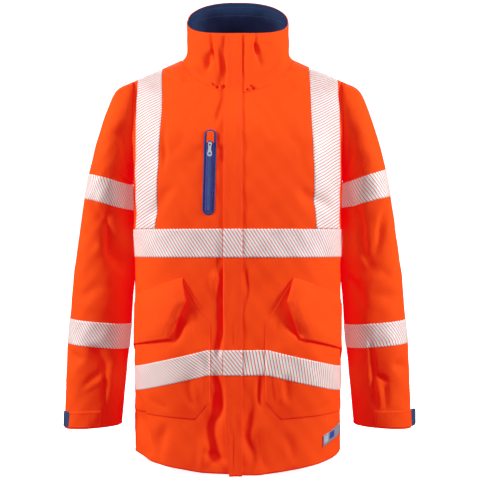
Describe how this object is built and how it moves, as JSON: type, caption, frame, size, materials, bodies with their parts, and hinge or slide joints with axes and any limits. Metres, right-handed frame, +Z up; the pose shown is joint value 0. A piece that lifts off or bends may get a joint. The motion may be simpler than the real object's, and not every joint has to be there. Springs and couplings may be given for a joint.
{
  "type": "hi-vis work jacket",
  "caption": "Thigh-length hi-vis waterproof work jacket in worn form, zipped shut, with reflective bands, braces, stand collar, zip chest pocket and flapped lower pockets.",
  "frame": {"origin": "middle of the neck at the height of the shoulder seams, where the wearer's shoulders hold the jacket", "axes": "+Z up, the front towards -Y, the wearer's left towards +X"},
  "size_m": [0.6795, 0.3261, 0.8942],
  "materials": {
    "orange_shell": "matt coated polyester",
    "reflective_tape": "segmented retroreflective film",
    "navy_cloth": "matt woven",
    "blue_trim": "satin laminated",
    "label_film": "satin film",
    "zip_metal": "satin",
    "pull_plastic": "moulded"
  },
  "bodies": {
    "jacket": {"back": "orange_shell", "brace_tape_back_left": "reflective_tape", "brace_tape_back_right": "reflective_tape", "brace_tape_front_left": "reflective_tape", "brace_tape_front_right": "reflective_tape", "chest_pocket_welt": "blue_trim", "chest_tape_back": "reflective_tape", "chest_tape_flap": "reflective_tape", "chest_tape_left": "reflective_tape", "chest_tape_right": "reflective_tape", "chest_zip_coil": "blue_trim", "chest_zip_slider": "zip_metal", "chest_zip_tape": "blue_trim", "collar": "orange_shell", "collar_lining": "navy_cloth", "cuff_tab_left": "orange_shell", "cuff_tab_right": "orange_shell", "cuff_tab_tip_left": "navy_cloth", "cuff_tab_tip_right": "navy_cloth", "front_left": "orange_shell", "front_right": "orange_shell", "hem_label": "label_film", "hem_tape_back": "reflective_tape", "hem_tape_flap": "reflective_tape", "hem_tape_left": "reflective_tape", "hem_tape_pocket_left": "reflective_tape", "hem_tape_pocket_right": "reflective_tape", "hem_tape_right": "reflective_tape", "pocket_bag_left": "orange_shell", "pocket_bag_right": "orange_shell", "pocket_flap_left": "orange_shell", "pocket_flap_right": "orange_shell", "sleeve_left": "orange_shell", "sleeve_right": "orange_shell", "sleeve_tape_lower_left": "reflective_tape", "sleeve_tape_lower_right": "reflective_tape", "sleeve_tape_upper_left": "reflective_tape", "sleeve_tape_upper_right": "reflective_tape", "storm_flap": "orange_shell"},
    "zip_pull": {"chest_zip_pull": "pull_plastic"}
  },
  "joints": [
    {"name": "zip_pull_swing", "type": "hinge", "parent": "jacket", "child": "zip_pull", "pos_m": [-0.05013, -0.16253, -0.17399], "axis": [-1, 0, 0], "range_deg": [0, 150]}
  ]
}
